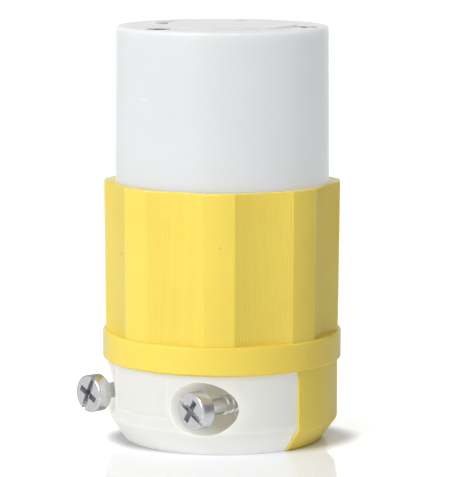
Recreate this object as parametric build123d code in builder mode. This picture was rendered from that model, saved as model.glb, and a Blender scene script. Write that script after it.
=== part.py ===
from build123d import *
import os
from math import cos, degrees, radians, sin

os.makedirs("parts", exist_ok=True)

# Locking cord connector: a white face body screwed into a fluted yellow shell, with a cord clamp
# at the other end. The origin is the centre of the cord entry, on the flat underside. The mating
# face looks up (+Z) and the loose clamp jaw looks to -Y.

# Heights, stacked from the underside up
clamp_height = 15.3
band_height = 5.3
sleeve_height = 27.9
nose_reach = 28.8  # face body standing out of the sleeve
floor_thickness = 3.2  # between the clamp and the wiring room
body_depth = 14.5  # face body below the sleeve's mouth
mouth_depth = 2.5  # of that, the part with the nose's full radius
retainer_thickness = 3.0

sleeve_z = clamp_height + band_height
mouth_z = sleeve_z + sleeve_height
face_z = mouth_z + nose_reach
floor_z = clamp_height + floor_thickness
ledge_z = mouth_z - mouth_depth
body_z = mouth_z - body_depth
retainer_z = body_z - retainer_thickness

# Radii, from the nose outwards
nose_radius = 19.95  # at the sleeve's mouth
nose_draft = 0.25
nose_gap = 0.05
nose_round = 0.6
land_wall = 2.05  # sleeve's wall at a land
sleeve_draft = 0.25
band_stand = 0.55
base_setback = 0.63
jaw_inset = 0.25  # how much slimmer the loose half of the clamp is
skirt_step = 0.55  # how much slimmer the face body is below the mouth
skirt_gap = 0.2
seat_gap = 0.1

face_radius = nose_radius - nose_draft
mouth_bore = nose_radius + nose_gap
sleeve_radius = mouth_bore + land_wall
foot_radius = sleeve_radius - sleeve_draft
band_radius = foot_radius + band_stand
base_radius = band_radius - base_setback
jaw_radius = base_radius - jaw_inset
skirt_radius = nose_radius - skirt_step
room_radius = skirt_radius + skirt_gap

# Sleeve's flutes: wide and slightly hollow, with a narrow land between each two
flute_count = 8
flute_span = 30.0  # degrees
flute_dish = 0.45  # how far a flute dips below its own chord
mouth_round = 0.25
band_round = 0.35

# Base: the bevel on each half of the clamp
shell_bevel_height = 4.05
shell_bevel_inset = 3.0
jaw_bevel_height = 4.6
jaw_bevel_inset = 3.2
bevel_round = 1.2
foot_round = 0.5
moulded_wall = 2.2

# Cord passage and its grip ribs
cord_radius = 8.3
grip_stand = 0.7
rib_crest = 1.2
rib_root = 2.4
rib_count = 3
rib_pitch = 4.4
first_rib_z = 3.6
cord_lead = 1.0

# Clamp's seam and screws
seam_y = -1.14
seam_gap = 0.1
jaw_play = 0.15
clamp_screw_x = 12.5
clamp_screw_z = 9.0
counterbore_radius = 5.05
counterbore_floor_y = -5.5
clamp_screw_clearance = 0.3
clamp_head_radius = 3.48
clamp_head_thickness = 2.76
clamp_head_round = 0.45
clamp_shank_radius = 1.42
clamp_shank_length = 20.5
clamp_plain_length = 5.25
clamp_root_radius = 1.3
clamp_crest_radius = 1.72
clamp_pilot_gap = 0.05
clamp_pilot_depth = 17.0
left_back_out = 14.25  # how far each screw stands off its seat
right_back_out = 11.45
left_slot_angle = 64.0
right_slot_angle = -32.0

# Shallow panel between the counterbores, and the cores that lighten the clamp
panel_width = 13.6
panel_depth = 0.15
panel_bottom_z = 7.0
core_width = 12.0
core_bottom_z = 5.5
cord_wall = 2.0

# Screw drives: a slot across the head and a cross recess
slot_width = 0.9
slot_depth = 0.9
cross_span = 4.6
cross_width = 1.15
cross_depth = 1.7
cross_taper = 12.0  # degrees
recess_share = 0.7  # of a thin head's thickness, at most
tip_share = 1 / 3  # of the shank's radius, chamfered off its tip

# Assembly screws, from the mating face down into the shell's bosses
assembly_screws = {"front": -90.0, "right": 30.0, "left": 150.0}
assembly_head_radius = 2.25
assembly_head_thickness = 1.8
assembly_head_gap = 0.15
assembly_head_recess = 0.1
assembly_head_round = 0.3
assembly_shank_radius = 1.45
assembly_shank_gap = 0.25
assembly_thread_gap = 0.04
assembly_reach = 8.5  # below the retainer, into a boss
assembly_spare = 1.0
rim_wall = 1.3  # between a head's pocket and the nose's edge
boss_radius = 3.8

assembly_circle = face_radius - rim_wall - assembly_head_radius - assembly_head_gap
head_seat_z = face_z - assembly_head_recess - assembly_head_thickness

# Mating face
disc_radius = 13.75
disc_height = 0.3
roof_thickness = 3.5
slot_opening = 2.0
slot_lead = 0.3
hook_reach = 3.4  # inwards from the pitch circle

# Contacts: two leaves either side of a blade, and a tail down to the terminal
pitch_radius = 11.4
blade_gap = 1.4
sheet = 0.9
leaf_height = 15.0
tip_gap = 0.3
tail_width = 9.6
tail_gap = 0.1
spring_sheet = 0.45
spring_gap = 0.05
spring_height = 6.0
spring_drop = 2.0
spring_turn = 2.5  # degrees that the spring stands past a leaf's end
pocket_gap = 0.2
pocket_turn = 2.0

leaf_in = pitch_radius - blade_gap / 2 - sheet
leaf_out = pitch_radius + blade_gap / 2 + sheet
pocket_in = leaf_in - spring_gap - spring_sheet - pocket_gap
pocket_out = leaf_out + spring_gap + spring_sheet + pocket_gap
roof_z = face_z - roof_thickness
ceiling_z = roof_z - tip_gap - leaf_height

# Terminals, stacked inwards from the skirt
terminal_head_radius = 3.2
terminal_head_thickness = 2.0
terminal_head_round = 0.3
terminal_head_recess = 1.0
terminal_shank_radius = 1.6
terminal_shank_gap = 0.25
terminal_thread_gap = 0.04
terminal_spare = 0.6
terminal_rise = 6.0  # above the face body's lower end
wire_gap = 2.6
plate_side = 8.4
plate_thickness = 1.6
plate_corner = 0.8
wire_groove_radius = 1.2
wire_groove_depth = 0.4
chamber_width = 11.6
chamber_gap = 0.6
window_margin = 0.9

tail_outer = skirt_radius - terminal_head_recess - terminal_head_thickness
tail_inner = tail_outer - sheet
plate_outer = tail_inner - wire_gap
plate_inner = plate_outer - plate_thickness
wire_radius = (tail_inner + plate_outer) / 2
terminal_z = body_z + terminal_rise
chamber_out = tail_outer + chamber_gap
window_side = 2 * (terminal_head_radius + window_margin)

# Face body's cores and the retainer's details
inner_wall = 1.6
nose_wall = 2.5
core_roof = 7.3
tube_wall = 1.7
web_width = 2.0
funnel_throat = 1.7
funnel_mouth = 2.9
barrier_height = 2.0
barrier_width = 1.6
hub_radius = 4.0

# Poles: where each stands round the axis, how wide its contact and its face slot are, and
# whether the slot has a hook
poles = {
    "line": {"angle": -30.0, "contact_span": 40.0, "slot_span": 44.0, "hook": False},
    "ground": {"angle": 90.0, "contact_span": 46.0, "slot_span": 56.0, "hook": True},
    "neutral": {"angle": 210.0, "contact_span": 46.0, "slot_span": 52.0, "hook": False},
}
overrun = 1.0  # how far a cut runs past what it cuts
tolerance = 0.01  # when an edge is chosen by its radius


def arc_band(inner, outer, centre, span):
    # Part of a flat ring, between two radii
    start = centre - span / 2
    with BuildSketch(Plane.XY, mode=Mode.PRIVATE) as band:
        with BuildLine():
            near = CenterArc((0, 0), inner, start, span)
            far = CenterArc((0, 0), outer, start, span)
            Line(near @ 0, far @ 0)
            Line(near @ 1, far @ 1)
        make_face()
    return band.sketch


def across(angle, radius, height):
    # Plane square to the radius at an angle, looking outwards, with its own y upwards
    outwards = Vector(cos(radians(angle)), sin(radians(angle)), 0)
    along_rim = Vector(-sin(radians(angle)), cos(radians(angle)), 0)
    return Plane(origin=outwards * radius + Vector(0, 0, height), x_dir=along_rim, z_dir=outwards)


def around(radius, angles):
    # Places on a circle, each turned to face outwards
    return [Location((radius * cos(radians(angle)), radius * sin(radians(angle)), 0), (0, 0, angle))
            for angle in angles]


def write(piece, name):
    piece.part.label = name
    export_step(piece.part, f"parts/{name}.step")


def make_screw(face, head_radius, head_thickness, head_round, shank_radius, shank_length, slot_angle,
               plain_length=0.0, root_radius=0.0):
    # Round-headed screw with its head's outer face on the given plane, shank behind it
    head_back = face.offset(-head_thickness)
    with BuildPart() as screw:
        with BuildSketch(face):
            Circle(head_radius)
        extrude(amount=-head_thickness)
        outer_edge = screw.edges().sort_by(Axis(face.origin, face.z_dir))[-1]
        fillet(outer_edge, head_round)
        with BuildSketch(head_back):
            Circle(shank_radius)
        extrude(amount=-(plain_length or shank_length))
        if plain_length:
            with BuildSketch(head_back.offset(-plain_length)):
                Circle(root_radius)
            extrude(amount=-(shank_length - plain_length))
        tip = screw.edges().sort_by(Axis(face.origin, face.z_dir))[0]
        chamfer(tip, (root_radius or shank_radius) * tip_share)
        with BuildSketch(face):
            Rectangle(2 * head_radius + overrun, slot_width, rotation=slot_angle)
        extrude(amount=-slot_depth, mode=Mode.SUBTRACT)
        with BuildSketch(face):
            Rectangle(cross_span, cross_width, rotation=slot_angle)
            Rectangle(cross_width, cross_span, rotation=slot_angle)
        recess_depth = min(cross_depth, head_thickness * recess_share)
        extrude(amount=-recess_depth, taper=cross_taper, mode=Mode.SUBTRACT)
    return screw


def make_clamp_blank(radius, bevel_height, bevel_inset):
    # Round blank for one half of the cord clamp, with its bevel, cord passage and grip ribs
    with BuildPart() as blank:
        with BuildSketch(Plane.XZ):
            with BuildLine():
                Polyline(
                    (0, 0),
                    (radius - bevel_inset, 0),
                    (radius, bevel_height),
                    (radius, clamp_height),
                    (0, clamp_height),
                    close=True,
                )
            make_face()
        revolve(axis=Axis.Z)
        fillet(blank.edges().filter_by(GeomType.CIRCLE).group_by(Axis.Z)[1], bevel_round)
        fillet(blank.edges().filter_by(GeomType.CIRCLE).group_by(Axis.Z)[0], foot_round)
        Cylinder(cord_radius, 2 * clamp_height + overrun, mode=Mode.SUBTRACT)
        passage = blank.edges().filter_by(GeomType.CIRCLE)
        chamfer(passage.filter_by(lambda edge: edge.radius == cord_radius).group_by(Axis.Z)[0], cord_lead)
        for rib in range(rib_count):
            rib_z = first_rib_z + rib * rib_pitch
            with BuildSketch(Plane.XZ):
                with BuildLine():
                    Polyline(
                        (cord_radius + overrun, rib_z - rib_root / 2),
                        (cord_radius, rib_z - rib_root / 2),
                        (cord_radius - grip_stand, rib_z - rib_crest / 2),
                        (cord_radius - grip_stand, rib_z + rib_crest / 2),
                        (cord_radius, rib_z + rib_root / 2),
                        (cord_radius + overrun, rib_z + rib_root / 2),
                        close=True,
                    )
                make_face()
            revolve(axis=Axis.Z)
    return blank


def clamp_core(radius, side):
    # Outline of the core on one side of the clamp: between the cord wall and the outer wall
    with BuildSketch(Plane.XY, mode=Mode.PRIVATE) as core:
        Circle(radius - moulded_wall)
        Circle(cord_radius + cord_wall, mode=Mode.SUBTRACT)
        with Locations((0, side * radius)):
            Rectangle(core_width, 2 * radius, mode=Mode.INTERSECT)
    return core.sketch


# Fixed half of the cord clamp, up to the seam
with BuildPart() as clamp_back:
    add(make_clamp_blank(base_radius, shell_bevel_height, shell_bevel_inset).part)
    split(bisect_by=Plane.XZ.offset(-seam_y), keep=Keep.BOTTOM)

# Yellow shell: sleeve, band, floor, bosses and the fixed half of the clamp
flute_chord = sleeve_radius * cos(radians(flute_span / 2))
flute_half = sleeve_radius * sin(radians(flute_span / 2))
flute_radius = (flute_dish**2 + flute_half**2) / (2 * flute_dish)
flute_centre = flute_chord - flute_dish + flute_radius
flute_rise = sleeve_height + overrun
flute_taper = sleeve_draft * flute_rise / sleeve_height

with BuildPart() as rear_shell:
    with BuildSketch(Plane.XZ):
        with BuildLine():
            Polyline(
                (0, clamp_height),
                (band_radius, clamp_height),
                (band_radius, sleeve_z),
                (foot_radius, sleeve_z),
                (sleeve_radius, mouth_z),
                (0, mouth_z),
                close=True,
            )
        make_face()
    revolve(axis=Axis.Z)
    band_edges = rear_shell.edges().filter_by(GeomType.CIRCLE)
    fillet(band_edges.filter_by(lambda edge: abs(edge.radius - band_radius) < tolerance), band_round)

    with Locations((0, 0, sleeve_z)):
        with PolarLocations(flute_centre, flute_count, start_angle=180 / flute_count - 90):
            Cone(
                flute_radius + sleeve_draft,
                flute_radius + sleeve_draft - flute_taper,
                flute_rise,
                align=(Align.CENTER, Align.CENTER, Align.MIN),
                mode=Mode.SUBTRACT,
            )
    fillet(rear_shell.edges().group_by(Axis.Z)[-1], mouth_round)

    with Locations((0, 0, floor_z)):
        Cylinder(
            room_radius,
            mouth_z - floor_z,
            align=(Align.CENTER, Align.CENTER, Align.MIN),
            mode=Mode.SUBTRACT,
        )
    with Locations((0, 0, ledge_z)):
        Cylinder(
            mouth_bore,
            mouth_depth + overrun,
            align=(Align.CENTER, Align.CENTER, Align.MIN),
            mode=Mode.SUBTRACT,
        )
    with Locations((0, 0, floor_z)):
        with Locations(around(assembly_circle, assembly_screws.values())):
            Cylinder(boss_radius, retainer_z - floor_z, align=(Align.CENTER, Align.CENTER, Align.MIN))
    with Locations((0, 0, retainer_z)):
        with Locations(around(assembly_circle, assembly_screws.values())):
            Hole(assembly_shank_radius + assembly_thread_gap, assembly_reach + assembly_spare)
    Cylinder(cord_radius, 2 * floor_z + overrun, mode=Mode.SUBTRACT)

    add(clamp_back.part)
    with BuildSketch(Plane.XY.offset(floor_z)):
        add(clamp_core(base_radius, 1))
    extrude(amount=core_bottom_z - floor_z, mode=Mode.SUBTRACT)
    with Locations(Plane.XZ.offset(-seam_y)):
        with Locations((-clamp_screw_x, clamp_screw_z), (clamp_screw_x, clamp_screw_z)):
            Hole(clamp_shank_radius + clamp_pilot_gap, clamp_pilot_depth)
write(rear_shell, "rear_shell")

# White jaw: the loose half of the clamp, which slides out along its two screws
with BuildPart() as clamp_jaw:
    add(make_clamp_blank(jaw_radius, jaw_bevel_height, jaw_bevel_inset).part)
    split(bisect_by=Plane.XZ.offset(seam_gap - seam_y), keep=Keep.TOP)
    split(bisect_by=Plane.XY.offset(clamp_height - jaw_play), keep=Keep.BOTTOM)
    with BuildSketch(Plane.XZ.offset(-counterbore_floor_y)):
        with Locations((-clamp_screw_x, clamp_screw_z), (clamp_screw_x, clamp_screw_z)):
            Circle(counterbore_radius)
    extrude(amount=jaw_radius, mode=Mode.SUBTRACT)
    with Locations(Plane.XZ.offset(-counterbore_floor_y)):
        with Locations((-clamp_screw_x, clamp_screw_z), (clamp_screw_x, clamp_screw_z)):
            Hole(clamp_crest_radius + clamp_screw_clearance, -counterbore_floor_y)
    with BuildSketch(Plane.XY.offset(panel_bottom_z)):
        Circle(jaw_radius + overrun)
        Circle(jaw_radius - panel_depth, mode=Mode.SUBTRACT)
        with Locations((0, -jaw_radius)):
            Rectangle(panel_width, jaw_radius, mode=Mode.INTERSECT)
    extrude(amount=clamp_height, mode=Mode.SUBTRACT)
    with BuildSketch(Plane.XY.offset(clamp_height)):
        add(clamp_core(jaw_radius, -1))
    extrude(amount=core_bottom_z - clamp_height, mode=Mode.SUBTRACT)
write(clamp_jaw, "clamp_jaw")

# Clamp screws, each as far out as it is delivered
clamp_screws = {
    "left": {"x": -clamp_screw_x, "back_out": left_back_out, "slot": left_slot_angle},
    "right": {"x": clamp_screw_x, "back_out": right_back_out, "slot": right_slot_angle},
}
for side, place in clamp_screws.items():
    head_face_y = counterbore_floor_y - place["back_out"] - clamp_head_thickness
    head_face = Plane(origin=(place["x"], head_face_y, clamp_screw_z), x_dir=(1, 0, 0), z_dir=(0, -1, 0))
    clamp_screw = make_screw(
        head_face,
        clamp_head_radius,
        clamp_head_thickness,
        clamp_head_round,
        clamp_shank_radius,
        clamp_shank_length,
        place["slot"],
        clamp_plain_length,
        clamp_root_radius,
    )
    write(clamp_screw, f"clamp_screw_{side}")


def slot_outline(pole, margin):
    # Blade slot in the mating face: part of a ring, and a hook inwards at one end of the ground's
    half_width = slot_opening / 2 + margin
    margin_turn = degrees(margin / pitch_radius)
    with BuildSketch(Plane.XY, mode=Mode.PRIVATE) as outline:
        add(arc_band(
            pitch_radius - half_width,
            pitch_radius + half_width,
            pole["angle"],
            pole["slot_span"] + 2 * margin_turn,
        ))
        if pole["hook"]:
            hook_angle = pole["angle"] + pole["slot_span"] / 2 + margin_turn
            with PolarLocations(pitch_radius, 1, start_angle=hook_angle):
                Rectangle(hook_reach + margin, 2 * half_width, align=(Align.MAX, Align.MAX))
    return outline.sketch


# White face body: drafted nose, slimmer skirt, blade slots, contact pockets and terminal chambers
with BuildPart() as face_body:
    with BuildSketch(Plane.XZ):
        with BuildLine():
            Polyline(
                (0, body_z),
                (skirt_radius, body_z),
                (skirt_radius, ledge_z + seat_gap),
                (nose_radius, ledge_z + seat_gap),
                (nose_radius, mouth_z),
                (face_radius, face_z),
                (0, face_z),
                close=True,
            )
        make_face()
    revolve(axis=Axis.Z)
    fillet(face_body.edges().group_by(Axis.Z)[-1], nose_round)
    with BuildSketch(Plane.XY.offset(face_z)):
        Circle(disc_radius)
    extrude(amount=disc_height)
    chamfer(face_body.edges().group_by(Axis.Z)[-1], disc_height / 2)

    for pole in poles.values():
        with BuildSketch(Plane.XY.offset(face_z + disc_height)):
            add(slot_outline(pole, 0))
        extrude(amount=-(roof_thickness + disc_height), mode=Mode.SUBTRACT)
        with BuildSketch(Plane.XY.offset(face_z + disc_height)):
            add(slot_outline(pole, slot_lead))
        extrude(amount=-slot_lead, taper=45, mode=Mode.SUBTRACT)

    for pole in poles.values():
        with BuildSketch(Plane.XY.offset(ceiling_z)):
            add(arc_band(pocket_in, pocket_out, pole["angle"],
                         pole["contact_span"] + 2 * (spring_turn + pocket_turn)))
        extrude(amount=roof_z - ceiling_z, mode=Mode.SUBTRACT)
        chamber_in = pocket_in * cos(radians(pole["contact_span"] / 2))
        with BuildSketch(across(pole["angle"], chamber_in, body_z)):
            Rectangle(chamber_width, ceiling_z - body_z, align=(Align.CENTER, Align.MIN))
        extrude(amount=chamber_out - chamber_in, mode=Mode.SUBTRACT)
        with BuildSketch(across(pole["angle"], tail_outer, terminal_z + window_side / 2)):
            Rectangle(window_side, window_side / 2 + terminal_rise, align=(Align.CENTER, Align.MAX))
        extrude(amount=nose_radius - tail_outer, mode=Mode.SUBTRACT)

    with BuildSketch(Plane.XY.offset(body_z)):
        Circle(face_radius - nose_wall)
        for pole in poles.values():
            with PolarLocations(0, 1, start_angle=pole["angle"]):
                Rectangle(
                    nose_radius,
                    chamber_width + 2 * inner_wall,
                    align=(Align.MIN, Align.CENTER),
                    mode=Mode.SUBTRACT,
                )
        with Locations(around(assembly_circle, assembly_screws.values())):
            Circle(assembly_shank_radius + assembly_shank_gap + tube_wall, mode=Mode.SUBTRACT)
            Rectangle(nose_radius, web_width, align=(Align.MIN, Align.CENTER), mode=Mode.SUBTRACT)
    extrude(amount=face_z - core_roof - body_z, mode=Mode.SUBTRACT)

    with Locations((0, 0, face_z + disc_height)):
        with Locations(around(assembly_circle, assembly_screws.values())):
            CounterBoreHole(
                assembly_shank_radius + assembly_shank_gap,
                assembly_head_radius + assembly_head_gap,
                face_z + disc_height - head_seat_z,
            )
write(face_body, "face_body")

# Contact retainer: closes the face body from behind, with a funnel for each wire and barriers between
pole_angles = [pole["angle"] for pole in poles.values()]
with BuildPart() as contact_retainer:
    with BuildSketch(Plane.XY.offset(retainer_z)):
        Circle(skirt_radius)
    extrude(amount=retainer_thickness)
    with BuildSketch(Plane.XY.offset(retainer_z)):
        Circle(hub_radius)
        for angle in assembly_screws.values():
            with PolarLocations(0, 1, start_angle=angle):
                Rectangle(assembly_circle - boss_radius, barrier_width, align=(Align.MIN, Align.CENTER))
    extrude(amount=-barrier_height)
    with Locations((0, 0, body_z)):
        with Locations(around(assembly_circle, assembly_screws.values())):
            Hole(assembly_shank_radius + assembly_shank_gap, retainer_thickness)
        with Locations(around(wire_radius, pole_angles)):
            Hole(funnel_throat, retainer_thickness)
    with Locations((0, 0, retainer_z)):
        with Locations(around(wire_radius, pole_angles)):
            Cone(
                funnel_mouth,
                funnel_throat,
                retainer_thickness / 2,
                align=(Align.CENTER, Align.CENTER, Align.MIN),
                mode=Mode.SUBTRACT,
            )
write(contact_retainer, "contact_retainer")

# One contact, spring, pressure plate and terminal screw for each pole
for name, pole in poles.items():
    angle = pole["angle"]
    span = pole["contact_span"]

    with BuildPart() as contact:
        with BuildSketch(Plane.XY.offset(ceiling_z)):
            add(arc_band(leaf_in, leaf_in + sheet, angle, span))
            add(arc_band(leaf_out - sheet, leaf_out, angle, span))
        extrude(amount=leaf_height)
        with BuildSketch(Plane.XY.offset(ceiling_z)):
            add(arc_band(leaf_in, leaf_out, angle, span))
            with PolarLocations(pitch_radius, 1, start_angle=angle):
                Rectangle(tail_outer - pitch_radius, tail_width, align=(Align.MIN, Align.CENTER))
        extrude(amount=-sheet)
        with BuildSketch(across(angle, tail_inner, ceiling_z)):
            Rectangle(tail_width, ceiling_z - body_z - tail_gap, align=(Align.CENTER, Align.MAX))
            with Locations((0, terminal_z - ceiling_z)):
                Circle(terminal_shank_radius + terminal_shank_gap, mode=Mode.SUBTRACT)
        extrude(amount=sheet)
    write(contact, f"contact_{name}")

    with BuildPart() as contact_spring:
        spring_span = span + 2 * spring_turn
        with BuildSketch(Plane.XY.offset(ceiling_z + leaf_height - spring_drop)):
            add(arc_band(leaf_in - spring_gap - spring_sheet, leaf_out + spring_gap + spring_sheet,
                         angle, spring_span))
            add(arc_band(leaf_in - spring_gap, leaf_out + spring_gap, angle + spring_turn, spring_span),
                mode=Mode.SUBTRACT)
        extrude(amount=-spring_height)
    write(contact_spring, f"contact_spring_{name}")

    with BuildPart() as pressure_plate:
        with BuildSketch(across(angle, plate_inner, terminal_z)):
            RectangleRounded(plate_side, plate_side, plate_corner)
            Circle(terminal_shank_radius + terminal_thread_gap, mode=Mode.SUBTRACT)
        extrude(amount=plate_thickness)
        groove_offset = (terminal_shank_radius + plate_side / 2) / 2
        with BuildSketch(Plane.XY.rotated((0, 0, angle)).offset(terminal_z - plate_side / 2)):
            with Locations(
                (plate_outer + wire_groove_radius - wire_groove_depth, -groove_offset),
                (plate_outer + wire_groove_radius - wire_groove_depth, groove_offset),
            ):
                Circle(wire_groove_radius)
        extrude(amount=plate_side, mode=Mode.SUBTRACT)
    write(pressure_plate, f"pressure_plate_{name}")

    terminal_screw = make_screw(
        across(angle, tail_outer + terminal_head_thickness, terminal_z),
        terminal_head_radius,
        terminal_head_thickness,
        terminal_head_round,
        terminal_shank_radius,
        tail_outer - plate_inner + terminal_spare,
        0.0,
    )
    write(terminal_screw, f"terminal_screw_{name}")

# Long screws that pull the face body and the retainer down on the shell's bosses
for name, angle in assembly_screws.items():
    seat = Vector(cos(radians(angle)), sin(radians(angle)), 0) * assembly_circle
    head_top = Plane(origin=seat + Vector(0, 0, head_seat_z + assembly_head_thickness))
    assembly_screw = make_screw(
        head_top,
        assembly_head_radius,
        assembly_head_thickness,
        assembly_head_round,
        assembly_shank_radius,
        head_seat_z - retainer_z + assembly_reach,
        angle,
    )
    write(assembly_screw, f"assembly_screw_{name}")
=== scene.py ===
import bpy
import bmesh
import math
from mathutils import Matrix, Vector


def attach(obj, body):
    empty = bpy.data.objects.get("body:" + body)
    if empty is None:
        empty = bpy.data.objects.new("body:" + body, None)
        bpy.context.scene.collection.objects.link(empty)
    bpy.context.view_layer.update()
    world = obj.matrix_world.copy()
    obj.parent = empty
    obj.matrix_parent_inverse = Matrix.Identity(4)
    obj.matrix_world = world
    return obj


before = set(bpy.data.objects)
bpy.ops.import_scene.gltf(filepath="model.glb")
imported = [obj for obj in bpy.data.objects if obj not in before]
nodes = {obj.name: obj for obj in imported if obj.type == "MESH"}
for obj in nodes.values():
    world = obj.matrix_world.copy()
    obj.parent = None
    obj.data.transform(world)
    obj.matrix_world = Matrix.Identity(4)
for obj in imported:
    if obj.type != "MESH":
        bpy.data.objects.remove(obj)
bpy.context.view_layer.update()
mm = 0.001
print("stage: frame loaded,", len(nodes), "nodes")


def addNode(tree, kind, inputs=None, **settings):
    node = tree.nodes.new(kind)
    for key, value in settings.items():
        setattr(node, key, value)
    for key, value in (inputs or {}).items():
        if isinstance(value, bpy.types.NodeSocket):
            tree.links.new(value, node.inputs[key])
        else:
            node.inputs[key].default_value = value
    return node


def addMath(tree, operation, *values):
    return addNode(tree, "ShaderNodeMath", dict(enumerate(values)), operation=operation).outputs[0]


def addVectorMath(tree, operation, *values):
    node = addNode(tree, "ShaderNodeVectorMath", dict(enumerate(values)), operation=operation)
    return node.outputs["Value"]


def addRange(tree, value, source, target=(0.0, 1.0), curve="LINEAR"):
    inputs = {"Value": value, "From Min": source[0], "From Max": source[1],
              "To Min": target[0], "To Max": target[1]}
    return addNode(tree, "ShaderNodeMapRange", inputs, interpolation_type=curve).outputs[0]


def addNoise(tree, place, pattern):
    return addNode(tree, "ShaderNodeTexNoise", {"Vector": place, **pattern}).outputs["Fac"]


def stretch(tree, place, scale):
    return addNode(tree, "ShaderNodeMapping", {"Vector": place, "Scale": scale}).outputs[0]


def objectPlace(tree):
    return addNode(tree, "ShaderNodeTexCoord").outputs["Object"]


def objectAxes(tree):
    return addNode(tree, "ShaderNodeSeparateXYZ", {0: objectPlace(tree)}).outputs


def ramp(tree, factor, stops):
    node = addNode(tree, "ShaderNodeValToRGB", {0: factor})
    elements = node.color_ramp.elements
    while len(elements) < len(stops):
        elements.new(0.5)
    for element, (position, value) in zip(elements, stops):
        element.position = position
        element.color = (value, value, value, 1)
    return node.outputs["Color"]


def mixColours(tree, factor, first, second):
    inputs = {0: factor, 6: first, 7: second}
    return addNode(tree, "ShaderNodeMix", inputs, data_type="RGBA").outputs[2]


def newGroup(name, inputs, kind="NodeSocketFloat"):
    tree = bpy.data.node_groups.new(name, "ShaderNodeTree")
    for label in inputs:
        tree.interface.new_socket(label, in_out="INPUT", socket_type=kind)
    return tree, tree.nodes.new("NodeGroupInput").outputs


def closeGroup(tree, outputs, kind="NodeSocketFloat"):
    for label in outputs:
        tree.interface.new_socket(label, in_out="OUTPUT", socket_type=kind)
    groupOut = tree.nodes.new("NodeGroupOutput")
    for label, socket in outputs.items():
        tree.links.new(socket, groupOut.inputs[label])
    return tree


def newMaterial(name, settings):
    material = bpy.data.materials.new(name)
    material.use_nodes = True
    shader = material.node_tree.nodes["Principled BSDF"]
    for key, value in settings.items():
        shader.inputs[key].default_value = value
    return material, material.node_tree, shader


def addBump(tree, shader, height, distance):
    bump = addNode(tree, "ShaderNodeBump", {"Height": height, "Distance": distance * mm})
    tree.links.new(bump.outputs["Normal"], shader.inputs["Normal"])


# Patterns on Object coordinates. Scales are in cells per metre, a mark's reach is a share of
# its cell and its core a share of its reach
nylonPattern = {
    "waves": {"Scale": 110, "Detail": 1.0},
    "grain": {"Scale": 2600, "Detail": 2.0},
    "cloud": {"Scale": 60, "Detail": 3.0},
    "specks": {"scale": 190, "reach": 0.07, "core": 0.43},
    "scuffs": {"scale": 130, "reach": 0.16, "core": 0.43},
    "scuffStretch": (1.0, 1.0, 11.0),
}
metalPattern = {
    "patchDetail": 3.0,
    "scratches": {"Scale": 7000, "Detail": 2.0},
    "scratchStretch": (1.0, 0.12, 1.0),
}
patchStops = [(0.35, 0.0), (0.65, 1.0)]


# Small marks in a few cells of a Voronoi pattern
def scatterMarks(tree, place, density, marks):
    cells = addNode(tree, "ShaderNodeTexVoronoi", {"Vector": place, "Scale": marks["scale"]})
    cellValue = addNode(tree, "ShaderNodeSeparateColor", {0: cells.outputs["Color"]}).outputs[0]
    isChosen = addMath(tree, "LESS_THAN", cellValue, density)
    edge = (marks["reach"], marks["reach"] * marks["core"])
    isNear = addRange(tree, cells.outputs["Distance"], edge)
    return addMath(tree, "MULTIPLY", isChosen, isNear)


# Skin of moulded nylon: a slow waviness, a fine grain, cloudy colour, a few specks and short
# level scuffs
def makeNylonSkin():
    tree, groupIn = newGroup("nylonSkin", ["Grain", "Waves", "Speck Density", "Scuff Density"])
    place = objectPlace(tree)
    scuffPlace = stretch(tree, place, nylonPattern["scuffStretch"])
    grain = addNoise(tree, place, nylonPattern["grain"])
    waves = addNoise(tree, place, nylonPattern["waves"])
    waves = addMath(tree, "MULTIPLY", waves, groupIn["Waves"])
    return closeGroup(tree, {
        "Height": addMath(tree, "MULTIPLY_ADD", grain, groupIn["Grain"], waves),
        "Cloud": addNoise(tree, place, nylonPattern["cloud"]),
        "Specks": scatterMarks(tree, place, groupIn["Speck Density"], nylonPattern["specks"]),
        "Scuffs": scatterMarks(tree, scuffPlace, groupIn["Scuff Density"], nylonPattern["scuffs"]),
    })


# Rolled or plated metal: patches for its brightness and roughness, and a height with fine
# scratches
def makeMetalSkin():
    tree, groupIn = newGroup("metalSkin", ["Patch Scale", "Scratch"])
    place = objectPlace(tree)
    scratchPlace = stretch(tree, place, metalPattern["scratchStretch"])
    scratches = addNoise(tree, scratchPlace, metalPattern["scratches"])
    patchPattern = {"Scale": groupIn["Patch Scale"], "Detail": metalPattern["patchDetail"]}
    patches = addNoise(tree, place, patchPattern)
    height = addMath(tree, "MULTIPLY_ADD", scratches, groupIn["Scratch"], patches)
    return closeGroup(tree, {"Patches": patches, "Height": height})


flutes = {"count": 8, "ribs": 304.0, "ribbedShare": 0.62, "ribbedFrom": 20.9}


# Fine upright ribs round the axis, only inside the sleeve's flutes
def makeFluteRibs():
    tree, groupIn = newGroup("fluteRibs", ["Rib Count"])
    place = objectAxes(tree)
    angle = addMath(tree, "ARCTAN2", place["Y"], place["X"])
    wave = addMath(tree, "MULTIPLY", angle, groupIn["Rib Count"])
    wave = addMath(tree, "SINE", wave)
    turn = addMath(tree, "DIVIDE", angle, math.radians(360 / flutes["count"]))
    turn = addMath(tree, "FRACT", turn)
    inFlute = addMath(tree, "COMPARE", turn, 0.5, flutes["ribbedShare"] / 2)
    onSleeve = addMath(tree, "GREATER_THAN", place["Z"], flutes["ribbedFrom"] * mm)
    ribbed = addMath(tree, "MULTIPLY", inFlute, onSleeve)
    return closeGroup(tree, {"Height": addMath(tree, "MULTIPLY", wave, ribbed)})


bores = {"x": 12.5, "z": 9.0, "radius": 5.08, "dimDepth": 9.0}
jaw = {"radius": 21.47, "footFrom": 6.5, "footTo": 0.5}


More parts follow.
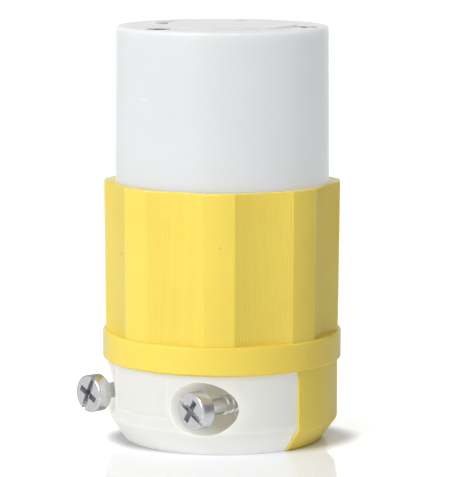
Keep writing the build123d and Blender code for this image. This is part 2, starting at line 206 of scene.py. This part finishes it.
# Painted glow on the jaw: emission that stands in for light coming through its thin walls, most at
# its foot, next to the floor. In the counterbores it is painted white at the lip and painted
# darker towards their floor
def makeJawPaintedGlow():
    tree, groupIn = newGroup("jawPaintedGlow", ["Wall", "Foot", "Lip", "Deep"], "NodeSocketColor")
    place = objectAxes(tree)
    side = addMath(tree, "ABSOLUTE", place["X"])
    flat = addNode(tree, "ShaderNodeCombineXYZ", {0: side, 1: place["Z"]}).outputs[0]
    away = addVectorMath(tree, "DISTANCE", flat, (bores["x"] * mm, bores["z"] * mm, 0))
    inBore = addMath(tree, "LESS_THAN", away, bores["radius"] * mm)
    wallY = addMath(tree, "POWER", side, 2.0)
    wallY = addMath(tree, "SUBTRACT", (jaw["radius"] * mm) ** 2, wallY)
    wallY = addMath(tree, "SQRT", wallY)
    depth = addMath(tree, "ADD", place["Y"], wallY)
    dim = addRange(tree, depth, (0, bores["dimDepth"] * mm))
    foot = (jaw["footFrom"] * mm, jaw["footTo"] * mm)
    low = addRange(tree, place["Z"], foot, curve="SMOOTHSTEP")
    bore = mixColours(tree, dim, groupIn["Lip"], groupIn["Deep"])
    wall = mixColours(tree, low, groupIn["Wall"], groupIn["Foot"])
    light = mixColours(tree, inBore, wall, bore)
    return closeGroup(tree, {"Light": light}, "NodeSocketColor")


nose = {"insideRadius": 19.0, "insideTop": 77.25}


# Painted glow on the nose: emission that stands in for light coming through its outer wall and its
# face, less on the face, and little of it in the slots and screw pockets, a painted shade there
def makeNosePaintedGlow():
    tree, groupIn = newGroup("nosePaintedGlow", ["Wall", "Face", "Inside"], "NodeSocketColor")
    place = objectAxes(tree)
    flat = addNode(tree, "ShaderNodeCombineXYZ", {0: place["X"], 1: place["Y"]}).outputs[0]
    away = addVectorMath(tree, "LENGTH", flat)
    within = addMath(tree, "LESS_THAN", away, nose["insideRadius"] * mm)
    under = addMath(tree, "LESS_THAN", place["Z"], nose["insideTop"] * mm)
    below = mixColours(tree, within, groupIn["Wall"], groupIn["Inside"])
    light = mixColours(tree, under, groupIn["Face"], below)
    return closeGroup(tree, {"Light": light}, "NodeSocketColor")


nylonSkin = makeNylonSkin()
metalSkin = makeMetalSkin()
fluteRibs = makeFluteRibs()
jawPaintedGlow = makeJawPaintedGlow()
nosePaintedGlow = makeNosePaintedGlow()


# Bump and glowDepth are in millimetres. Where a look has lights, they are the colours of its
# painted glow, emission given as the inputs of the group that paints it
def makeNylon(name, look):
    material, tree, shader = newMaterial(name, {
        "IOR": look["ior"],
        "Roughness": look["roughness"],
        "Subsurface Weight": look["glow"],
        "Subsurface Radius": look["glowRadius"],
        "Subsurface Scale": look["glowDepth"] * mm,
    })
    skin = addNode(tree, "ShaderNodeGroup", {
        "Grain": look["grain"],
        "Waves": look["waves"],
        "Speck Density": look["specks"],
        "Scuff Density": look["scuffs"],
    }, node_tree=nylonSkin).outputs
    cloud = ramp(tree, skin["Cloud"], patchStops)
    colour = mixColours(tree, cloud, look["shade"], look["colour"])
    colour = mixColours(tree, skin["Scuffs"], colour, look["scuffColour"])
    colour = mixColours(tree, skin["Specks"], colour, look["speckColour"])
    tree.links.new(colour, shader.inputs["Base Color"])
    height = skin["Height"]
    if look["ribs"]:
        ribs = addNode(tree, "ShaderNodeGroup", {"Rib Count": flutes["ribs"]}, node_tree=fluteRibs)
        height = addMath(tree, "MULTIPLY_ADD", ribs.outputs["Height"], look["ribs"], height)
    addBump(tree, shader, height, look["bump"])
    # Painted glow: the look's lights become the shader's emission
    if look["lights"]:
        light = addNode(tree, "ShaderNodeGroup", look["lights"], node_tree=look["paintedGlowGroup"])
        tree.links.new(light.outputs["Light"], shader.inputs["Emission Color"])
        shader.inputs["Emission Strength"].default_value = 1.0
    return material


nylonLook = {
    "ior": 1.53,
    "grain": 0.35,
    "waves": 1.0,
    "bump": 0.02,
    "ribs": 0,
    "lights": None,
}
whiteNylonLook = {
    **nylonLook,
    "colour": (0.455, 0.46, 0.463, 1),
    "shade": (0.44, 0.445, 0.448, 1),
    "roughness": 0.30,
    "specks": 0.012,
    "speckColour": (0.35, 0.33, 0.30, 1),
    "scuffs": 0.03,
    "scuffColour": (0.62, 0.62, 0.62, 1),
    "glow": 1.0,
    "glowRadius": (1.0, 0.95, 0.86),
    "glowDepth": 5.0,
    "paintedGlowGroup": nosePaintedGlow,
    # Painted glow: emission on the nose's wall and face, with painted shade inside its slots and
    # pockets
    "lights": {
        "Wall": (0.31, 0.322, 0.327, 1),
        "Face": (0.25, 0.25, 0.25, 1),
        "Inside": (0.05, 0.05, 0.05, 1),
    },
}
jawNylonLook = {
    **whiteNylonLook,
    "colour": (0.55, 0.55, 0.535, 1),
    "shade": (0.535, 0.535, 0.52, 1),
    "scuffs": 0.01,
    "glowDepth": 3.0,
    "paintedGlowGroup": jawPaintedGlow,
    # Painted glow: emission on the jaw's wall and foot and at the counterbore lips, painted darker
    # deep in the counterbores
    "lights": {
        "Wall": (0.250, 0.246, 0.233, 1),
        "Foot": (0.33, 0.327, 0.315, 1),
        "Lip": (0.42, 0.415, 0.395, 1),
        "Deep": (0.17, 0.155, 0.11, 1),
    },
}
yellowNylonLook = {
    **nylonLook,
    "colour": (0.88, 0.70, 0.115, 1),
    "shade": (0.86, 0.675, 0.105, 1),
    "roughness": 0.25,
    "specks": 0.02,
    "speckColour": (0.35, 0.24, 0.03, 1),
    "scuffs": 0.012,
    "scuffColour": (0.92, 0.78, 0.25, 1),
    "ribs": 1.2,
    "glow": 0.6,
    "glowRadius": (1.0, 0.7, 0.2),
    "glowDepth": 1.0,
}
retainerNylonLook = {
    **whiteNylonLook,
    "colour": (0.045, 0.045, 0.05, 1),
    "shade": (0.035, 0.035, 0.038, 1),
    "roughness": 0.5,
    "speckColour": (0.08, 0.08, 0.08, 1),
    "scuffs": 0.0,
    "glow": 0.0,
    "lights": None,
}
whiteNylon = makeNylon("whiteNylon", whiteNylonLook)
jawNylon = makeNylon("jawNylon", jawNylonLook)
yellowNylon = makeNylon("yellowNylon", yellowNylonLook)
retainerNylon = makeNylon("retainerNylon", retainerNylonLook)


def makeMetal(name, look):
    settings = {"Metallic": 1.0, "Specular Tint": look["edgeTint"]}
    material, tree, shader = newMaterial(name, settings)
    skin = addNode(tree, "ShaderNodeGroup", {
        "Patch Scale": look["patchScale"],
        "Scratch": look["scratch"],
    }, node_tree=metalSkin).outputs
    patches = ramp(tree, skin["Patches"], patchStops)
    colour = mixColours(tree, patches, look["shade"], look["colour"])
    tree.links.new(colour, shader.inputs["Base Color"])
    rough = addRange(tree, skin["Patches"], (0, 1), look["roughness"])
    tree.links.new(rough, shader.inputs["Roughness"])
    addBump(tree, shader, skin["Height"], look["bump"])
    return material


plainMetal = {"edgeTint": (1, 1, 1, 1), "bump": 0.02}
zincPlate = makeMetal("zincPlate", {
    "colour": (0.75, 0.75, 0.76, 1),
    "shade": (0.69, 0.695, 0.705, 1),
    "edgeTint": (0.6, 0.6, 0.6, 1),
    "roughness": (0.20, 0.30),
    "patchScale": 2200,
    "scratch": 0.5,
    "bump": 0.012,
})
dullPlate = makeMetal("dullPlate", {
    "colour": (0.34, 0.34, 0.35, 1),
    "shade": (0.09, 0.09, 0.095, 1),
    "edgeTint": (0.25, 0.25, 0.25, 1),
    "roughness": (0.25, 0.45),
    "patchScale": 1500,
    "scratch": 0.5,
    "bump": 0.03,
})
rolledBrass = makeMetal("rolledBrass", {
    **plainMetal,
    "colour": (0.80, 0.58, 0.24, 1),
    "shade": (0.70, 0.48, 0.18, 1),
    "roughness": (0.22, 0.40),
    "patchScale": 700,
    "scratch": 0.8,
})
springSteel = makeMetal("springSteel", {
    **plainMetal,
    "colour": (0.52, 0.53, 0.55, 1),
    "shade": (0.42, 0.43, 0.46, 1),
    "roughness": (0.25, 0.42),
    "patchScale": 900,
    "scratch": 0.8,
})
nickelPlate = makeMetal("nickelPlate", {
    **plainMetal,
    "colour": (0.78, 0.75, 0.68, 1),
    "shade": (0.68, 0.65, 0.60, 1),
    "roughness": (0.18, 0.34),
    "patchScale": 1500,
    "scratch": 0.4,
})
greenPlate = makeMetal("greenPlate", {
    **plainMetal,
    "colour": (0.05, 0.34, 0.12, 1),
    "shade": (0.03, 0.24, 0.09, 1),
    "roughness": (0.25, 0.45),
    "patchScale": 1500,
    "scratch": 0.4,
})
print("stage: materials made")

# Finishes by the start of a node's name. The longest start that fits is the one that counts
nodeFinishes = {
    "rear_shell": yellowNylon,
    "clamp_jaw": jawNylon,
    "face_body": whiteNylon,
    "contact_retainer": retainerNylon,
    "clamp_screw": zincPlate,
    "assembly_screw": dullPlate,
    "contact_spring": springSteel,
    "contact": rolledBrass,
    "pressure_plate": zincPlate,
    "terminal_screw_line": rolledBrass,
    "terminal_screw_neutral": nickelPlate,
    "terminal_screw_ground": greenPlate,
}
for nodeName, nodeObject in nodes.items():
    matches = [start for start in nodeFinishes if nodeName.startswith(start)]
    finish = nodeFinishes[max(matches, key=len)]
    for slot in nodeObject.material_slots:
        slot.material = finish
print("stage: finishes on the frame's nodes")

# Rolled threads of the two clamp screws: a ridge that winds round the thinner part of each shank
thread = {
    "rootRadius": 1.29,
    "crestRadius": 1.82,
    "pitch": 1.25,
    "rootWidth": 0.62,
    "crestWidth": 0.14,
    "startTurns": 0.6,
    "endTurns": 0.8,
    "leastRise": 0.02,
    "stepsPerTurn": 40,
}
threadedShanks = {
    "threadLeft": {"x": -12.5, "z": 9.0, "from": -15.6, "to": 0.4},
    "threadRight": {"x": 12.5, "z": 9.0, "from": -12.8, "to": 3.2},
}


def makeThread(name, shank):
    bm = bmesh.new()
    turns = (shank["to"] - shank["from"]) / thread["pitch"]
    steps = int(turns * thread["stepsPerTurn"])
    fullRise = thread["crestRadius"] - thread["rootRadius"]
    rings = []
    for step in range(steps + 1):
        turn = turns * step / steps
        angle = 2 * math.pi * turn
        rise = min(1, turn / thread["startTurns"], (turns - turn) / thread["endTurns"])
        crest = thread["rootRadius"] + fullRise * max(rise, thread["leastRise"])
        along = shank["from"] + thread["pitch"] * turn
        section = (
            (thread["rootRadius"], -thread["rootWidth"] / 2),
            (crest, -thread["crestWidth"] / 2),
            (crest, thread["crestWidth"] / 2),
            (thread["rootRadius"], thread["rootWidth"] / 2),
        )
        ring = []
        for radius, offset in section:
            place = Vector((shank["x"] + radius * math.cos(angle), along + offset,
                            shank["z"] + radius * math.sin(angle)))
            ring.append(bm.verts.new(place * mm))
        rings.append(ring)
    for near, far in zip(rings, rings[1:]):
        for corner in range(len(near)):
            following = (corner + 1) % len(near)
            bm.faces.new((near[corner], near[following], far[following], far[corner]))
    bm.faces.new(rings[0])
    bm.faces.new(rings[-1])
    bmesh.ops.recalc_face_normals(bm, faces=bm.faces)
    mesh = bpy.data.meshes.new(name)
    bm.to_mesh(mesh)
    bm.free()
    mesh.materials.append(zincPlate)
    piece = bpy.data.objects.new(name, mesh)
    bpy.context.collection.objects.link(piece)
    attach(piece, "housing")


for threadName, shank in threadedShanks.items():
    makeThread(threadName, shank)
print("stage: threads wound")

# Camera at the photo's angle, in degrees and millimetres. Floor, room and lamp are placed as it
# sees them: to its right, and nearer to it
photoView = {
    "azimuth": 46.4,
    "pitch": 8.109,
    "roll": 0.123,
    "distance": 524.06,
    "height": 112.05,
    "offset": 1.016,
    "lens": 213.49,
    "sensor": 36,
    "clipStart": 10,
}
azimuth = math.radians(photoView["azimuth"])
toRight = Vector((math.cos(azimuth), math.sin(azimuth), 0))
toCamera = Vector((math.sin(azimuth), -math.cos(azimuth), 0))


def makeCamera():
    cameraData = bpy.data.cameras.new("photoCamera")
    cameraData.lens = photoView["lens"]
    cameraData.sensor_width = photoView["sensor"]
    cameraData.clip_start = photoView["clipStart"] * mm
    camera = bpy.data.objects.new("photoCamera", cameraData)
    place = toCamera * photoView["distance"] + toRight * photoView["offset"]
    place = place + Vector((0, 0, photoView["height"]))
    turn = (Matrix.Rotation(azimuth, 4, "Z")
            @ Matrix.Rotation(math.radians(90 - photoView["pitch"]), 4, "X")
            @ Matrix.Rotation(math.radians(photoView["roll"]), 4, "Z"))
    camera.matrix_world = Matrix.Translation(place * mm) @ turn
    bpy.context.collection.objects.link(camera)
    bpy.context.scene.camera = camera


# In metres and watts
keyLamp = {
    "right": -0.58,
    "nearer": 0.80,
    "height": 0.6,
    "aimHeight": 0.04,
    "size": (0.24, 0.75),
    "power": 7.6,
}


def makeLamp(name, lamp):
    lampData = bpy.data.lights.new(name, "AREA")
    lampData.shape = "RECTANGLE"
    lampData.size, lampData.size_y = lamp["size"]
    lampData.energy = lamp["power"]
    lampObject = bpy.data.objects.new(name, lampData)
    place = toRight * lamp["right"] + toCamera * lamp["nearer"] + Vector((0, 0, lamp["height"]))
    aim = (place - Vector((0, 0, lamp["aimHeight"]))).to_track_quat("Z", "Y")
    lampObject.matrix_world = Matrix.Translation(place) @ aim.to_matrix().to_4x4()
    bpy.context.collection.objects.link(lampObject)


# The floor's colour is painted darker inside the oval of contact, a painted contact shadow.
# Outside the oval of shadow the camera sees it lifted to white by painted light, but less from
# frontFrom on, in the strip where the glossy floor mirrors the part. Lengths are in millimetres,
# and a rim is a range of shares of its oval
contact = {
    "right": -1.9,
    "nearer": 3.0,
    "halfWidth": 19.5,
    "halfDepth": 14.6,
    "rim": (0.85, 1.12),
}
shadow = {
    "right": 1.8,
    "nearer": 2.5,
    "halfWidth": 23.5,
    "halfDepth": 16.0,
    "rim": (0.87, 1.13),
}
mirrored = {
    "frontFrom": 5,
    "frontTo": 18,
    "frontLift": 0.22,
    "footRadius": 16.6,
    "radius": 20.2,
    "radiusFrom": 22.0,
    "blur": 0.6,
    "fadeFrom": 34,
    "fadeTo": 56,
}
glossyFloor = {
    "size": 6000,
    "drop": 0.02,
    "roughness": 0.05,
    "ior": 1.2,
    "colour": (0.91, 0.93, 0.955, 1),
    "paintedShadowColour": (0.44, 0.44, 0.44, 1),
    # The lift is painted light: emission in liftColour that only the camera sees
    "lift": 0.5,
    "liftColour": (0.94, 0.97, 1, 1),
}


# How far a point is across an oval's rim, from 0 inside it to 1 outside
def acrossRim(tree, sideways, forward, oval):
    across = addMath(tree, "SUBTRACT", sideways, oval["right"] * mm)
    across = addMath(tree, "DIVIDE", across, oval["halfWidth"] * mm)
    along = addMath(tree, "SUBTRACT", forward, oval["nearer"] * mm)
    along = addMath(tree, "DIVIDE", along, oval["halfDepth"] * mm)
    flat = addNode(tree, "ShaderNodeCombineXYZ", {0: across, 1: along}).outputs[0]
    away = addVectorMath(tree, "LENGTH", flat)
    return addRange(tree, away, oval["rim"], curve="SMOOTHSTEP")


# Share of the painted lift that the mirrored strip leaves: all of it beside the strip and beyond
# its end
def stripLift(tree, sideways, forward):
    front = (mirrored["frontFrom"] * mm, mirrored["frontTo"] * mm)
    lift = addRange(tree, forward, front, (1.0, mirrored["frontLift"]))
    radii = (mirrored["footRadius"] * mm, mirrored["radius"] * mm)
    halfWidth = addRange(tree, forward, (0, mirrored["radiusFrom"] * mm), radii)
    beside = addMath(tree, "ABSOLUTE", sideways)
    beside = addMath(tree, "SUBTRACT", beside, halfWidth)
    beside = addRange(tree, beside, (0, mirrored["blur"] * mm))
    end = (mirrored["fadeFrom"] * mm, mirrored["fadeTo"] * mm)
    beyond = addRange(tree, forward, end, curve="SMOOTHSTEP")
    lift = addMath(tree, "MAXIMUM", lift, beside)
    return addMath(tree, "MAXIMUM", lift, beyond)


def makeFloor():
    bm = bmesh.new()
    bmesh.ops.create_grid(bm, x_segments=1, y_segments=1, size=glossyFloor["size"] * mm / 2)
    bmesh.ops.translate(bm, vec=(0, 0, -glossyFloor["drop"] * mm), verts=bm.verts)
    mesh = bpy.data.meshes.new("studioFloor")
    bm.to_mesh(mesh)
    bm.free()
    floor = bpy.data.objects.new("studioFloor", mesh)
    bpy.context.collection.objects.link(floor)
    material, tree, shader = newMaterial("floorGloss", {
        "Roughness": glossyFloor["roughness"],
        "IOR": glossyFloor["ior"],
        "Emission Color": glossyFloor["liftColour"],
    })
    place = objectPlace(tree)
    sideways = addVectorMath(tree, "DOT_PRODUCT", place, tuple(toRight))
    forward = addVectorMath(tree, "DOT_PRODUCT", place, tuple(toCamera))
    outside = acrossRim(tree, sideways, forward, contact)
    # Painted contact shadow: the floor's colour is darker inside the contact oval
    colour = mixColours(tree, outside, glossyFloor["paintedShadowColour"], glossyFloor["colour"])
    tree.links.new(colour, shader.inputs["Base Color"])
    # Painted light seen only by the camera lifts the floor to white outside the shadow oval and
    # beside the mirrored strip
    lift = acrossRim(tree, sideways, forward, shadow)
    lift = addMath(tree, "MULTIPLY", lift, glossyFloor["lift"])
    lift = addMath(tree, "MULTIPLY", lift, stripLift(tree, sideways, forward))
    isSeen = addNode(tree, "ShaderNodeLightPath").outputs["Is Camera Ray"]
    tree.links.new(addMath(tree, "MULTIPLY", isSeen, lift), shader.inputs["Emission Strength"])
    mesh.materials.append(material)


# Light from all round, by direction: dimmer towards darkSide and overhead, halved in a ring of
# directions beyond the part, and cut by a dark card at the right. The camera sees plain white
room = {
    "darkSide": toCamera * 0.5 + toRight * 0.87,
    "darkRange": (-0.4, 0.9),
    "darkLevels": (0.91, 0.65),
    "overheadLevels": (1.0, 0.67),
    "ringStops": [(0.03, 1.0), (0.05, 0.5), (0.25, 0.5), (0.30, 1.0)],
    "cardSide": toRight * 0.95 - toCamera * 0.3,
    "cardRange": (0.80, 0.92),
    "cardLevels": (1.0, 0.3),
}


def makeWorld():
    world = bpy.data.worlds.new("studioWorld")
    world.use_nodes = True
    bpy.context.scene.world = world
    tree = world.node_tree
    background = tree.nodes["Background"]
    direction = addNode(tree, "ShaderNodeTexCoord").outputs["Generated"]
    sides = {"dark": room["darkSide"], "card": room["cardSide"], "camera": toCamera}
    facing = {}
    for name, side in sides.items():
        facing[name] = addVectorMath(tree, "DOT_PRODUCT", direction, tuple(side.normalized()))
    height = addNode(tree, "ShaderNodeSeparateXYZ", {0: direction}).outputs["Z"]
    level = addRange(tree, facing["dark"], room["darkRange"], room["darkLevels"], "SMOOTHSTEP")
    ring = addRange(tree, facing["camera"], (-1.0, 1.0))
    ring = ramp(tree, ring, room["ringStops"])
    card = addRange(tree, facing["card"], room["cardRange"], room["cardLevels"], "SMOOTHSTEP")
    overhead = addRange(tree, height, (0, 1), room["overheadLevels"])
    for share in (ring, card, overhead):
        level = addMath(tree, "MULTIPLY", level, share)
    isSeen = addNode(tree, "ShaderNodeLightPath").outputs["Is Camera Ray"]
    background.inputs["Color"].default_value = (1, 1, 1, 1)
    tree.links.new(addMath(tree, "MAXIMUM", isSeen, level), background.inputs["Strength"])


makeCamera()
makeFloor()
makeWorld()
makeLamp("keyLamp", keyLamp)
bpy.context.scene.view_settings.view_transform = "Standard"
print("stage: studio set")
